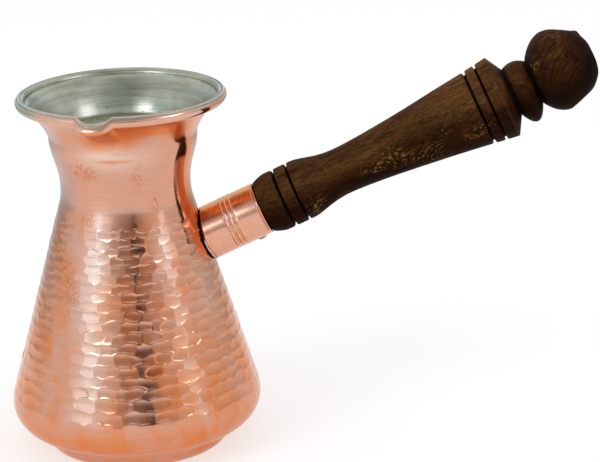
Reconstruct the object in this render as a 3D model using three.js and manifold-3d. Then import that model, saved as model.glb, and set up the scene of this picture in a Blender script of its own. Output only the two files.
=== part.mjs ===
// Copper coffee pot with a side handle, built as it comes apart on the bench: a spun copper shell with a
// rolled rim and a pressed pour lip, the tin coat inside it, a copper ferrule soldered to the wall, and a
// turned wooden handle whose tenon sits in the ferrule and is held there by a brad.
// Millimetres, +Z up. The pot's axis is Z, it stands on z = 0, and the handle points along +X.

import * as THREE from "three";
import { mergeVertices } from "three/addons/utils/BufferGeometryUtils.js";
import Module from "manifold-3d";

const DEG = Math.PI / 180;
const TURN = 2 * Math.PI;

// Sheet, tin coat and the clearance between pieces that seat on each other
const sheet = 1.0;
const tin = 0.2;
const fit = 0.12;

// Base, low foot band, and the wall that turns in above it; each height counts from the one below
const baseRadius = 32.2;
const footSpread = 3.4;
const footHeight = 6.5;
const footRounding = 2.6;
const turnUnder = 0.78;

// Cone, from the belly to the neck
const coneFootRadius = 46.4;
const bellyHeight = 15.1;
const bellyFullness = 8.0;
const coneTopRadius = 25.2;
const coneHeight = 72;

// Neck: the waist, then the nearly straight band under the flare
const waistRadius = 24.2;
const waistRise = 7.4;
const collarRadius = 27.5;
const collarRise = 18.8;
const waistEase = 0.45;
const collarEase = 0.36;

// Flare and rolled rim
const rimRadius = 38.9;
const flareHeight = 15.1;
const curlRadius = 1.7;
const curlSweep = 260 * DEG;
const curlFootBend = 1.6;
const flareSlope = 30 * DEG;
const tinEdgeAngle = 50 * DEG;

// Pour lip, pressed into the rim
const lipAzimuth = -103 * DEG;
const lipHalfAngle = 9.8 * DEG;
const lipDrop = 2.4;
const lipReach = 2.6;
const lipDepth = 15;
const lipNarrowness = 1.4;

// Handle axis: how far below the cone's top it meets the wall, and how steeply it rises
const handleBelowNeck = 14.2;
const handleRise = 23.2 * DEG;

// Ferrule: its length counts from the wall, its mouth and ridges count back from the mouth
const ferruleRadius = 10.0;
const ferruleWall = 1.0;
const ferruleLength = 22.8;
const mouthRing = 0.9;
const mouthGroove = 0.45;
const ridgeBack = 9.8;
const ridgePitch = 1.85;
const ridgeCount = 3;
const ridgeHeight = 0.35;
const ridgeWidth = 1.3;

// Solder: the ferrule stands off the cone by this much at its top and at its underside
const solderTop = 0.6;
const solderUnder = 1.9;
const solderProud = 0.35;
const solderWidth = 2.0;

// Wooden handle: lengths count from the face of its collar
const tenonLength = 13;
const tenonChamfer = 1.0;
const faceGap = 0.35;
const collarProud = 1.4;
const collarFaceSunk = 0.3;
const collarBevel = 4.85;
const collarLength = 16.05;
const waistAt = 32.85;
const gripRadius = 8.8;
const shoulderAt = 87.75;
const shoulderStartRadius = 14.35;
const shoulderLength = 10;
const shoulderRadius = 15.8;
const frontNeckAt = 101.75;
const frontNeckRadius = 9.2;
const beadAt = 106.25;
const beadRadius = 14.0;
const beadUpperLoss = 0.72;
const backNeckAt = 110.65;
const backNeckRadius = 8.5;
const ballAt = 120.25;
const ballRadius = 15.5;
const ballPointed = 1.08;
const ballLift = 0.55;
const handleLength = 136;
const grooveWidth = 1.1;
const grooveDepth = 1.3;
const collarGrooves = [8.8, 14.2];
const shoulderGrooves = [0.75, 5.2];

// Brad through the underside of the ferrule into the tenon, set back from the ferrule's mouth
const bradBack = 4.8;
const bradRadius = 0.8;
const bradLength = 7;
const bradHeadRadius = 1.7;
const bradHeadHeight = 0.8;

// Facets round each piece, and the parts that a step near the lip is cut into
const bodySteps = 36;
const lipParts = 5;
const curlTurns = 10;
const ferruleSteps = 28;
const handleSteps = 24;
const bradSteps = 12;

// Heights and radii that follow from these
const footRadius = baseRadius + footSpread;
const coneFootHeight = footHeight + bellyHeight;
const coneTopHeight = coneFootHeight + coneHeight;
const waistHeight = coneTopHeight + waistRise;
const collarHeight = waistHeight + collarRise;
const rimHeight = collarHeight + flareHeight;
const ferruleBore = ferruleRadius - ferruleWall;
const collarOuter = ferruleRadius + collarProud;

const wasm = await Module();
wasm.setup();

const copper = new THREE.MeshStandardMaterial({ color: 0xdc9a7a, metalness: 1, roughness: 0.3 });
const tinned = new THREE.MeshStandardMaterial({ color: 0xb9bcb2, metalness: 1, roughness: 0.35 });
const solder = new THREE.MeshStandardMaterial({ color: 0xc9c8c0, metalness: 1, roughness: 0.4 });
const walnut = new THREE.MeshStandardMaterial({ color: 0x3c2416, metalness: 0, roughness: 0.55 });
const steel = new THREE.MeshStandardMaterial({ color: 0x9a9894, metalness: 1, roughness: 0.4 });

// Points along a path, each of its stretches cut into its own number of steps
function sample(path, steps) {
  return path.curves.flatMap((curve, i) => curve.getPoints(steps[i]).slice(i ? 1 : 0));
}

// The ends of equal steps from one angle to another, without the first
function arcAngles(from, to, steps) {
  return Array.from({ length: steps }, (_, i) => from + ((to - from) * (i + 1)) / steps);
}

// Points of an arc about a centre
function arc(centre, radius, from, to, steps) {
  return [from, ...arcAngles(from, to, steps)].map(
    (angle) => new THREE.Vector2(centre.x + radius * Math.cos(angle), centre.y + radius * Math.sin(angle)),
  );
}

// A profile moved to its left by a distance, with mitred corners
function offset(points, distance) {
  return points.map((point, i) => {
    const before = point.clone().sub(points[Math.max(i - 1, 0)]).normalize();
    const after = points[Math.min(i + 1, points.length - 1)].clone().sub(point).normalize();
    const into = i ? before : after;
    const out = i < points.length - 1 ? after : before;
    const along = into.clone().add(out).normalize();
    const mitre = distance / along.dot(out);
    return new THREE.Vector2(point.x - along.y * mitre, point.y + along.x * mitre);
  });
}

// A closed solid for joins and cuts, from a geometry whose faces share their corners
function toSolid(geometry) {
  const bare = new THREE.BufferGeometry().setAttribute("position", geometry.getAttribute("position"));
  bare.setIndex(geometry.index);
  const merged = mergeVertices(bare, 1e-4);
  const corners = merged.index.array;
  const faces = [];
  for (let i = 0; i < corners.length; i += 3) {
    const [a, b, c] = corners.slice(i, i + 3);
    if (a !== b && b !== c && c !== a) faces.push(a, b, c);
  }
  return new wasm.Manifold(
    new wasm.Mesh({
      numProp: 3,
      vertProperties: merged.getAttribute("position").array,
      triVerts: new Uint32Array(faces),
    }),
  );
}

function toGeometry(solid) {
  const mesh = solid.getMesh();
  const geometry = new THREE.BufferGeometry();
  geometry.setAttribute("position", new THREE.BufferAttribute(mesh.vertProperties, 3));
  geometry.setIndex(new THREE.BufferAttribute(mesh.triVerts, 1));
  geometry.computeVertexNormals();
  return geometry;
}

function named(name, geometry, material) {
  const mesh = new THREE.Mesh(geometry, material);
  mesh.name = name;
  return mesh;
}

// The sheet's underside, from the middle of the base out, up the wall and into the rolled rim, each of its
// eight stretches cut into its own number of steps
const curlCentre = new THREE.Vector2(rimRadius - curlRadius, rimHeight - curlRadius);
const curlBore = curlRadius - sheet;
const coneAlong = new THREE.Vector2(coneTopRadius - coneFootRadius, coneHeight).normalize();

function underside(steps) {
  const bend = new THREE.Vector2(curlCentre.x - curlBore - curlFootBend, curlCentre.y);
  const bendStart = flareSlope - Math.PI / 2;
  const [flareEnd] = arc(bend, curlFootBend, bendStart, bendStart, 1);
  const neckTangent = waistRise / 2.5;
  const flareTangent = (flareEnd.y - collarHeight) / 4;
  const path = new THREE.Path();
  path.moveTo(0, 0);
  path.lineTo(baseRadius, 0);
  path.quadraticCurveTo(baseRadius + footRounding, footRounding / 3, footRadius, footHeight);
  path.bezierCurveTo(
    THREE.MathUtils.lerp(footRadius, coneFootRadius, turnUnder),
    footHeight,
    coneFootRadius - coneAlong.x * bellyFullness,
    coneFootHeight - coneAlong.y * bellyFullness,
    coneFootRadius,
    coneFootHeight,
  );
  path.lineTo(coneTopRadius, coneTopHeight);
  path.bezierCurveTo(
    coneTopRadius + coneAlong.x * neckTangent,
    coneTopHeight + coneAlong.y * neckTangent,
    waistRadius,
    waistHeight - neckTangent,
    waistRadius,
    waistHeight,
  );
  path.bezierCurveTo(
    waistRadius,
    waistHeight + waistEase * collarRise,
    collarRadius,
    collarHeight - collarEase * collarRise,
    collarRadius,
    collarHeight,
  );
  path.bezierCurveTo(
    collarRadius,
    collarHeight + flareTangent,
    flareEnd.x - Math.cos(flareSlope) * flareTangent,
    flareEnd.y - Math.sin(flareSlope) * flareTangent,
    flareEnd.x,
    flareEnd.y,
  );
  path.absarc(bend.x, bend.y, curlFootBend, bendStart, 0, false);
  return sample(path, steps);
}

// Height at which the pressing of the lip begins to show in the neck
const lipRoot = rimHeight - lipDepth;

// A point of the shell at an angle counted from the lip, with the pour lip pressed in
function pressed(point, angle) {
  const aside = Math.abs(Math.atan2(Math.sin(angle), Math.cos(angle))) / lipHalfAngle;
  const across = aside < 1 ? Math.cos((aside * Math.PI) / 2) ** lipNarrowness : 0;
  const up = THREE.MathUtils.smoothstep(point.y, lipRoot, rimHeight - 2 * curlRadius);
  const radius = point.x + lipReach * across * up;
  const azimuth = lipAzimuth + angle;
  return [
    radius * Math.cos(azimuth),
    radius * Math.sin(azimuth),
    point.y - lipDrop * across * up,
  ];
}

// Angles round the shell, counted from the lip; where the lip reaches, each step by it is cut into parts
function stations(parts) {
  const step = TURN / bodySteps;
  const reached = Math.ceil(lipHalfAngle / step);
  return Array.from({ length: bodySteps }, (_, k) => {
    const cuts = Math.min(k, bodySteps - 1 - k) < reached ? parts : 1;
    return Array.from({ length: cuts }, (_, i) => (k + i / cuts) * step);
  }).flat();
}

const lipAngles = stations(lipParts);
const plainAngles = stations(1);

function ring(point) {
  if (point.x < 1e-6) return [{ angle: 0, place: [0, 0, point.y] }];
  const angles = point.y > lipRoot ? lipAngles : plainAngles;
  return angles.map((angle) => ({ angle, place: pressed(point, angle) }));
}

// Triangles between two rings, whose numbers of points may differ
function band(inner, outer) {
  const faces = [];
  const near = (i) => inner[i % inner.length];
  const far = (j) => outer[j % outer.length];
  const angleOf = (list, i) => list[i % list.length].angle + TURN * Math.floor(i / list.length);
  const last = inner.length > 1 ? inner.length : 0;
  let i = 0;
  let j = 0;
  while (i < last || j < outer.length) {
    const nearFirst = i < last && angleOf(inner, i + 1) <= angleOf(outer, j + 1) + 1e-9;
    if (nearFirst || j === outer.length) {
      faces.push(near(i).place, near(i + 1).place, far(j).place);
      i += 1;
    } else {
      faces.push(near(i).place, far(j + 1).place, far(j).place);
      j += 1;
    }
  }
  return faces;
}

// A skin of revolution with the lip pressed in, seen from below and outside unless it is turned over
function skin(points, turnedOver) {
  const rings = points.map(ring);
  const corners = rings.slice(1).flatMap((outer, i) => band(rings[i], outer));
  return turnedOver ? corners.reverse() : corners;
}

function closed(...skins) {
  const geometry = new THREE.BufferGeometry();
  geometry.setAttribute("position", new THREE.Float32BufferAttribute(skins.flat(2), 3));
  const merged = mergeVertices(geometry, 1e-4);
  merged.computeVertexNormals();
  return merged;
}

// The sheet's top side follows its underside, with fewer steps where it is smooth
const outside = underside([1, 3, 6, 1, 2, 6, 6, 2]);
const smooth = underside([1, 1, 4, 1, 1, 5, 5, 2]);
const inside = offset(smooth, sheet);

// The rolled edge: its outer side, its bore, and the turns that the tin covers
const curlEnd = Math.PI - curlSweep;
const curlSides = arc(curlCentre, curlRadius, Math.PI, curlEnd, curlTurns);
const curlInside = arc(curlCentre, curlBore, Math.PI, curlEnd, curlTurns / 2);
const tinTurns = Math.round(((Math.PI - tinEdgeAngle) * curlTurns) / curlSweep);

function body() {
  const under = skin([...outside, ...curlInside.slice(1), curlSides.at(-1)], false);
  const top = skin([...inside, ...curlSides.slice(1)], true);
  return closed(under, top);
}

// The coat's seat is the sheet's own top side, facet for facet
function tinLining() {
  const seat = [...inside, ...curlSides.slice(1, tinTurns + 1)];
  const curlFace = arc(curlCentre, curlRadius + tin, Math.PI, curlEnd, curlTurns);
  const face = [...offset(smooth, sheet + tin), ...curlFace.slice(1, tinTurns), seat.at(-1)];
  return closed(skin(seat, false), skin(face, true));
}

// Where the handle's axis meets the wall. The handle's own frame starts at the pot's axis, and its local X
// runs out along the handle.
const coneSlope = coneAlong.x / coneAlong.y;
const wallRadius = (height) => coneFootRadius + (height - coneFootHeight) * coneSlope;
const seatHeight = coneTopHeight - handleBelowNeck;
const seatAlong = wallRadius(seatHeight) / Math.cos(handleRise);
const ferruleMouth = seatAlong + ferruleLength;
const collarFace = ferruleMouth + faceGap;
const bradAlong = ferruleMouth - bradBack;

const handle = new THREE.Group();
handle.position.z = seatHeight - seatAlong * Math.sin(handleRise);
handle.rotation.y = -handleRise;
handle.updateMatrix();
const toHandle = handle.matrix.clone().invert();

// A body turned about the handle's axis, from a profile of points (along, radius)
function turned(profile, steps) {
  const points = profile.map((point) => new THREE.Vector2(point.y, point.x));
  return new THREE.LatheGeometry(points, steps).rotateZ(-Math.PI / 2);
}

const at = (along, radius) => new THREE.Vector2(along, radius);

// A solid cone about the pot's axis that stands off the wall, by one distance at the height of the
// ferrule's top and by another at its underside, in the handle's frame
function wallCone(offTop, offUnder) {
  const high = seatHeight + ferruleRadius;
  const low = seatHeight - ferruleRadius;
  const spread = 2 * ferruleRadius;
  const off = (height) => offUnder + ((offTop - offUnder) * (height - low)) / (high - low);
  const end = (height) => new THREE.Vector2(wallRadius(height) + off(height) / coneAlong.y, height);
  const profile = [
    new THREE.Vector2(0, low - spread),
    end(low - spread),
    end(high + spread),
    new THREE.Vector2(0, high + spread),
  ];
  const about = new THREE.LatheGeometry(profile, 4 * bodySteps).rotateX(Math.PI / 2);
  return toSolid(about.applyMatrix4(toHandle));
}

// A straight pin or drill that points down, square to the handle's axis, from a distance off that axis
function bradTurned(profile) {
  const points = profile.map(([radius, height]) => new THREE.Vector2(radius, height));
  return new THREE.LatheGeometry(points, bradSteps).rotateX(Math.PI / 2).translate(bradAlong, 0, 0);
}

const bradDrill = toSolid(
  bradTurned([
    [0, -2 * ferruleRadius],
    [bradRadius + fit, -2 * ferruleRadius],
    [bradRadius + fit, bradLength - ferruleRadius + fit],
    [0, bradLength - ferruleRadius + fit],
  ]),
);

function handleBrad() {
  const seat = -ferruleRadius - fit;
  return bradTurned([
    [0, seat - bradHeadHeight],
    [0.6 * bradHeadRadius, seat - 0.9 * bradHeadHeight],
    [bradHeadRadius, seat - 0.3 * bradHeadHeight],
    [bradHeadRadius, seat],
    [bradRadius, seat],
    [bradRadius, bradLength - ferruleRadius - 2 * bradRadius],
    [0, bradLength - ferruleRadius],
  ]);
}

const insidePot = seatAlong - 2 * ferruleRadius;

function ferruleTube() {
  const firstRidge = ferruleMouth - ridgeBack - (ridgeCount - 1) * ridgePitch;
  const middles = Array.from({ length: ridgeCount }, (_, i) => firstRidge + i * ridgePitch);
  const ridges = middles.flatMap((middle) => [
    at(middle - ridgeWidth / 2, ferruleRadius),
    at(middle - ridgeWidth / 5, ferruleRadius + ridgeHeight),
    at(middle + ridgeWidth / 5, ferruleRadius + ridgeHeight),
    at(middle + ridgeWidth / 2, ferruleRadius),
  ]);
  const start = at(insidePot, ferruleRadius);
  const tube = turned(
    [
      start,
      ...ridges,
      at(ferruleMouth - mouthRing, ferruleRadius),
      at(ferruleMouth - mouthRing + mouthGroove / 2, ferruleRadius - mouthGroove),
      at(ferruleMouth - mouthRing / 3, ferruleRadius),
      at(ferruleMouth, ferruleRadius - mouthGroove / 2),
      at(ferruleMouth, ferruleBore),
      at(insidePot, ferruleBore),
      start,
    ],
    ferruleSteps,
  );
  return toGeometry(toSolid(tube).subtract(wallCone(solderTop, solderUnder)).subtract(bradDrill));
}

// What the solder fills: the wedge between the cone and the cut end of the ferrule
function solderSeam() {
  const outer = ferruleRadius + solderProud;
  const inner = ferruleRadius - solderWidth;
  const farEnd = seatAlong + 2 * ferruleRadius;
  const section = [at(insidePot, outer), at(farEnd, outer), at(farEnd, inner), at(insidePot, inner)];
  const plug = turned([...section, section[0]], ferruleSteps);
  const wedge = wallCone(solderTop - fit, solderUnder - fit).subtract(wallCone(fit, fit));
  return toGeometry(toSolid(plug).intersect(wedge));
}

// A scored line across the handle's outline at one place, where the outline has this radius
function scored(along, radius) {
  const half = grooveWidth / 2;
  return [
    at(along - half, radius),
    at(along - half / 2, radius - grooveDepth),
    at(along + half / 2, radius - grooveDepth),
    at(along + half, radius),
  ];
}

// The grip: a hollow from the collar to the waist, then a long swelling up to the shoulder
function gripOutline() {
  const [collarEnd, waist, shoulder] = [collarLength, waistAt, shoulderAt].map((from) => collarFace + from);
  const hollow = (waist - collarEnd) / 4;
  const swelling = (shoulder - waist) / 5;
  const rise = (shoulderStartRadius - gripRadius) / 2;
  const path = new THREE.Path();
  path.moveTo(collarEnd, collarOuter);
  path.bezierCurveTo(collarEnd + hollow, collarOuter, waist - 2 * hollow, gripRadius, waist, gripRadius);
  path.bezierCurveTo(
    waist + swelling,
    gripRadius,
    shoulder - 2 * swelling,
    shoulderStartRadius - rise,
    shoulder,
    shoulderStartRadius,
  );
  return sample(path, [7, 8]);
}

// The bead between the two necks
function beadOutline() {
  const [front, rim, back] = [frontNeckAt, beadAt, backNeckAt].map((from) => collarFace + from);
  const path = new THREE.Path();
  path.moveTo(front, frontNeckRadius);
  path.quadraticCurveTo((front + rim) / 2, beadRadius, rim, beadRadius);
  path.quadraticCurveTo((rim + back) / 2, beadRadius, back, backNeckRadius);
  return sample(path, [4, 4]);
}

// The ball: a short side towards the neck and a longer one towards its end, both slightly pointed
function ballOutline() {
  const widest = collarFace + ballAt;
  const neckAngle = Math.asin((backNeckRadius / ballRadius) ** (1 / ballPointed));
  const shortSide = (ballAt - backNeckAt) / Math.cos(neckAngle) ** ballPointed;
  const longSide = handleLength - ballAt;
  const outline = (side, angle) =>
    at(widest + side * Math.cos(angle) ** ballPointed, ballRadius * Math.sin(angle) ** ballPointed);
  const towardsNeck = arcAngles(neckAngle, Math.PI / 2, 5).map((angle) => outline(-shortSide, angle));
  const towardsEnd = arcAngles(Math.PI / 2, 0, 6).map((angle) => outline(longSide, angle));
  return [...towardsNeck, ...towardsEnd.slice(0, -1), at(widest + longSide, 0)];
}

function handleOutline() {
  const tenonRadius = ferruleBore - fit;
  const tenonEnd = collarFace - tenonLength;
  const shoulder = collarFace + shoulderAt;
  const slope = (shoulderRadius - shoulderStartRadius) / shoulderLength;
  const bevelled = collarFace + collarBevel;
  return [
    at(tenonEnd, 0),
    at(tenonEnd, tenonRadius - tenonChamfer),
    at(tenonEnd + tenonChamfer, tenonRadius),
    at(collarFace, tenonRadius),
    at(collarFace, ferruleRadius - collarFaceSunk),
    at((collarFace + bevelled) / 2, collarOuter - collarProud / 2),
    at(bevelled, collarOuter),
    ...collarGrooves.flatMap((from) => scored(collarFace + from, collarOuter)),
    ...gripOutline().slice(0, -1),
    ...shoulderGrooves.flatMap((from) => scored(shoulder + from, shoulderStartRadius + from * slope)),
    at(shoulder + shoulderLength, shoulderRadius),
    ...beadOutline(),
    ...ballOutline(),
  ];
}

// Hand work on the turned blank: the bead is worn down on its upper side, and the ball sits a little high
function handWorked(geometry) {
  const [front, back, widest] = [frontNeckAt, backNeckAt, ballAt].map((from) => collarFace + from);
  const places = geometry.getAttribute("position");
  for (let i = 0; i < places.count; i += 1) {
    const [x, y, z] = [places.getX(i), places.getY(i), places.getZ(i)];
    const radius = Math.hypot(y, z);
    if (x > front && x < back && radius > 0) {
      const neck = THREE.MathUtils.mapLinear(x, front, back, frontNeckRadius, backNeckRadius);
      const worn = neck + (radius - neck) * (1 - (beadUpperLoss * (1 + z / radius)) / 2);
      places.setXYZ(i, x, (y * worn) / radius, (z * worn) / radius);
    } else if (x >= back) {
      places.setZ(i, z + ballLift * THREE.MathUtils.smoothstep(x, back, widest));
    }
  }
  return geometry;
}

function woodHandle() {
  const wood = toSolid(handWorked(turned(handleOutline(), handleSteps)));
  return toGeometry(wood.subtract(bradDrill));
}

handle.add(named("handle_ferrule", ferruleTube(), copper));
handle.add(named("solder_seam", solderSeam(), solder));
handle.add(named("wood_handle", woodHandle(), walnut));
handle.add(named("handle_brad", handleBrad(), steel));

const pot = new THREE.Group();
pot.add(named("body", body(), copper));
pot.add(named("tin_lining", tinLining(), tinned));
pot.add(handle);

export default pot;
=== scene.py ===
"""Looks of the copper coffee pot: hammered shell, tin coat, soldered ferrule and turned wooden handle.

Lengths are in millimetres in this script and become metres where a mesh is made. The pot's axis is Z, it
stands on z = 0, and the handle points along +X.
"""
import math

import bpy
import numpy as np
from mathutils import Matrix, Vector


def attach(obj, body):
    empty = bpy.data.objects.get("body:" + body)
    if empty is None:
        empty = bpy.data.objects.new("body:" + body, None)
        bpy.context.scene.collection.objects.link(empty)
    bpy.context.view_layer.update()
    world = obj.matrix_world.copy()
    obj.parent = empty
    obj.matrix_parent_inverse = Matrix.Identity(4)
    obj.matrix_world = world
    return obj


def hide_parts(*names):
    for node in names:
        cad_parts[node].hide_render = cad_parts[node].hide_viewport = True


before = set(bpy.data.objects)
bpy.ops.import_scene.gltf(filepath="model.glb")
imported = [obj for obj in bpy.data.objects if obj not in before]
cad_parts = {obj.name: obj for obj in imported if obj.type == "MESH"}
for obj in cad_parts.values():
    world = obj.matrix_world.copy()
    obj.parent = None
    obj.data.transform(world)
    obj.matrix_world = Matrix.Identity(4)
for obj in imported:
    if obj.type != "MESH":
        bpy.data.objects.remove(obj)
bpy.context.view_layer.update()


MM = 0.001
TURN = 2 * math.pi
rng = np.random.default_rng(11)

# Sizes, as in the part's source
SHEET = 1.0
TIN = 0.2
BASE_RADIUS = 32.2
FOOT_RADIUS = 35.6
FOOT_HEIGHT = 6.5
FOOT_ROUNDING = 2.6
TURN_UNDER = 0.78
CONE_FOOT = (46.4, 21.6)
BELLY_FULLNESS = 8.0
CONE_TOP = (25.2, 93.6)
WAIST = (24.2, 101.0)
COLLAR = (27.5, 119.8)
WAIST_EASE = 0.45
COLLAR_EASE = 0.36
RIM_RADIUS = 38.9
RIM_HEIGHT = 134.9
CURL_RADIUS = 1.7
CURL_SWEEP = math.radians(260)
CURL_END = math.pi - CURL_SWEEP
CURL_BEND = 1.6
CURL_CENTRE = (RIM_RADIUS - CURL_RADIUS, RIM_HEIGHT - CURL_RADIUS)
CURL_BORE = CURL_RADIUS - SHEET
FLARE_SLOPE = math.radians(30)
TIN_EDGE = math.radians(50)
LIP_AZIMUTH = math.radians(-105)
LIP_SIDES = np.radians((9.4, 12.0))
LIP_FLATNESS = 3.0
LIP_DROP = 2.4
LIP_REACH = 2.6
LIP_DEPTH = 15.0
LIP_SPREAD = 0.3

RISE = math.radians(23.2)
SEAT_HEIGHT = CONE_TOP[1] - 14.2
CONE_SLOPE = (CONE_TOP[0] - CONE_FOOT[0]) / (CONE_TOP[1] - CONE_FOOT[1])
SEAT_RADIUS = CONE_FOOT[0] + (SEAT_HEIGHT - CONE_FOOT[1]) * CONE_SLOPE
SEAT_ALONG = SEAT_RADIUS / math.cos(RISE)
HANDLE_ORIGIN = SEAT_HEIGHT - SEAT_ALONG * math.sin(RISE)
FERRULE_RADIUS = 10.0
FERRULE_BORE = 9.0
FERRULE_MOUTH = SEAT_ALONG + 22.8
RIDGES = [FERRULE_MOUTH - 9.8 - 1.85 * i for i in range(3)]
STAND_OFF = (0.5, 1.3)
COLLAR_FACE = FERRULE_MOUTH + 0.35
COLLAR_OUTER = 11.4

# Shape of the pressed lip. The shares are those at the inside and at the outside of the bead.
LIP_FALL = 1.4
LIP_RISE = 2.2
LIP_SPREAD_TALL = 7
REACH_SHARES = (0.55, 1.0)
DROP_SHARES = (0.7, 1.1)
BEAD_SWELL = 0.2
BEAD_FRONT, BEAD_FRONT_WIDE = np.radians((-95, 75))


# Curves
def smoothstep(x, low, high):
    """From 0 at low to 1 at high; low may be the larger of the two."""
    t = np.clip((x - low) / (high - low), 0, 1)
    return t * t * (3 - 2 * t)


def bell(x, middle, width, power=2):
    """A bump, 1 in its middle; power 4 gives it a flat top."""
    return np.exp(-(((x - middle) / width) ** power))


def wrapped(angle):
    return (angle + math.pi) % TURN - math.pi


def all_round(count):
    return np.arange(count) / count * TURN


def unit(vectors):
    return vectors / np.linalg.norm(vectors, axis=-1, keepdims=True)


def noise_about(azimuth, height, waves, reach, seed):
    """Smooth seeded waves over a surface of revolution, about -1 to 1."""
    draw = np.random.default_rng(seed)
    total = np.zeros(np.broadcast(azimuth, height).shape)
    for _ in range(waves):
        turns = draw.integers(1, reach[0] + 1)
        climb = draw.uniform(-1, 1) * reach[1]
        total = total + np.sin(turns * azimuth + climb * height + draw.uniform(0, TURN))
    return total / math.sqrt(waves)


def bezier(a, b, c, d, steps):
    t = np.linspace(0, 1, steps + 1)[:, None]
    a, b, c, d = (np.array(p, float) for p in (a, b, c, d))
    return (1 - t) ** 3 * a + 3 * (1 - t) ** 2 * t * b + 3 * (1 - t) * t**2 * c + t**3 * d


def bent(a, b, c, steps):
    """A curve from a to c that leaves and arrives in the direction of b."""
    t = np.linspace(0, 1, steps + 1)[:, None]
    a, b, c = (np.array(p, float) for p in (a, b, c))
    return (1 - t) ** 2 * a + 2 * t * (1 - t) * b + t**2 * c


def arc(centre, radius, start, end, steps):
    angles = np.linspace(start, end, steps + 1)
    return np.column_stack([centre[0] + radius * np.cos(angles), centre[1] + radius * np.sin(angles)])


def joined(*stretches):
    """Stretches of a profile end to end, each without the point it shares with the one before."""
    return np.vstack([stretches[0]] + [s[1:] for s in stretches[1:]])


def offset(points, distance):
    """A profile moved to its left."""
    steps = unit(np.diff(points, axis=0))
    before = np.vstack([steps[:1], steps])
    after = np.vstack([steps, steps[-1:]])
    along = unit(before + after)
    mitre = distance / (along * after).sum(1)
    return points + np.column_stack([-along[:, 1], along[:, 0]]) * mitre[:, None]


# Meshes
def mesh_object(name, places, faces, attributes=None):
    """A smooth mesh from places in millimetres, with named values at its points."""
    mesh = bpy.data.meshes.new(name)
    mesh.from_pydata((np.asarray(places) * MM).tolist(), [], [tuple(f) for f in faces])
    for key, values in (attributes or {}).items():
        values = np.asarray(values, np.float32)
        kind = "FLOAT" if values.ndim == 1 else "FLOAT_VECTOR"
        layer = mesh.attributes.new(key, kind, "POINT")
        layer.data.foreach_set("value" if kind == "FLOAT" else "vector", values.ravel())
    mesh.validate()
    mesh.polygons.foreach_set("use_smooth", [True] * len(mesh.polygons))
    thing = bpy.data.objects.new(name, mesh)
    bpy.context.scene.collection.objects.link(thing)
    return thing


def with_ends(rings, first, last):
    """The points of all rings, and one more point for each end."""
    return np.vstack([rings.reshape(-1, 3), [first, last]])


def ring_faces(rings, around, closed=False):
    """Quads between rings of points; a closed set of rings joins its last ring to its first."""
    low = np.arange(rings if closed else rings - 1)[:, None] * around
    high = (low + around) % (rings * around)
    j = np.arange(around)[None, :]
    k = (j + 1) % around
    return np.stack([low + j, low + k, high + k, high + j], -1).reshape(-1, 4).tolist()


def capped(rings, around):
    """Ring faces with a fan to one point at each end; the two points follow the rings."""
    faces = ring_faces(rings, around)
    first = rings * around
    top = first - around
    for j in range(around):
        k = (j + 1) % around
        faces.append((first, k, j))
        faces.append((first + 1, top + j, top + k))
    return faces


# The sheet's profile
cone_along = unit(np.subtract(CONE_TOP, CONE_FOOT))


def underside(steps):
    """The sheet's underside from the flat base to the rolled rim, with a count of steps per stretch."""
    bend_centre = (CURL_CENTRE[0] - CURL_BORE - CURL_BEND, CURL_CENTRE[1])
    bend = (bend_centre, CURL_BEND, FLARE_SLOPE - math.pi / 2, 0)
    flare_end = arc(*bend, 2)[0]
    flare = (flare_end[1] - COLLAR[1]) / 4
    flare_way = np.array([math.cos(FLARE_SLOPE), math.sin(FLARE_SLOPE)])
    neck = (WAIST[1] - CONE_TOP[1]) / 2.5
    rise = COLLAR[1] - WAIST[1]
    base = (BASE_RADIUS, 0)
    knee = (BASE_RADIUS + FOOT_ROUNDING, FOOT_ROUNDING / 3)
    foot = (FOOT_RADIUS, FOOT_HEIGHT)
    belly = (FOOT_RADIUS + (CONE_FOOT[0] - FOOT_RADIUS) * TURN_UNDER, FOOT_HEIGHT)
    waist_ease = (WAIST[0], WAIST[1] + WAIST_EASE * rise)
    collar_ease = (COLLAR[0], COLLAR[1] - COLLAR_EASE * rise)
    return joined(
        bent(base, knee, foot, steps[0]),
        bezier(foot, belly, CONE_FOOT - cone_along * BELLY_FULLNESS, CONE_FOOT, steps[1]),
        np.linspace(CONE_FOOT, CONE_TOP, steps[2] + 1),
        bezier(CONE_TOP, CONE_TOP + cone_along * neck, (WAIST[0], WAIST[1] - neck), WAIST, steps[3]),
        bezier(WAIST, waist_ease, collar_ease, COLLAR, steps[4]),
        bezier(COLLAR, (COLLAR[0], COLLAR[1] + flare), flare_end - flare_way * flare, flare_end, steps[5]),
        arc(*bend, steps[6]),
    )


def pressed(radius, height, azimuth):
    """The pour lip pressed into a surface of revolution: its new radius and height."""
    bead_foot = RIM_HEIGHT - 2 * CURL_RADIUS
    over = np.clip((radius - RIM_RADIUS + 2 * CURL_RADIUS) / (2 * CURL_RADIUS), 0, 1)
    front = bell(wrapped(azimuth - BEAD_FRONT), 0, BEAD_FRONT_WIDE, 4)
    height = height + BEAD_SWELL * front * smoothstep(over, -0.2, 0.3) * np.maximum(height - bead_foot, 0)
    aside = wrapped(azimuth - LIP_AZIMUTH)
    aside = np.where(aside < 0, -aside / LIP_SIDES[0], aside / LIP_SIDES[1])
    aside = aside / (1 + LIP_SPREAD * smoothstep(height, bead_foot, bead_foot - LIP_SPREAD_TALL))
    across = np.maximum(1 - np.minimum(aside, 1) ** LIP_FLATNESS, 0) ** LIP_FALL
    up = smoothstep(height, RIM_HEIGHT - LIP_DEPTH, bead_foot) ** LIP_RISE
    out = LIP_REACH * across * up * np.interp(over, (0, 1), REACH_SHARES)
    down = LIP_DROP * across * up * np.interp(over, (0, 1), DROP_SHARES)
    return radius + out, height - down


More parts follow.
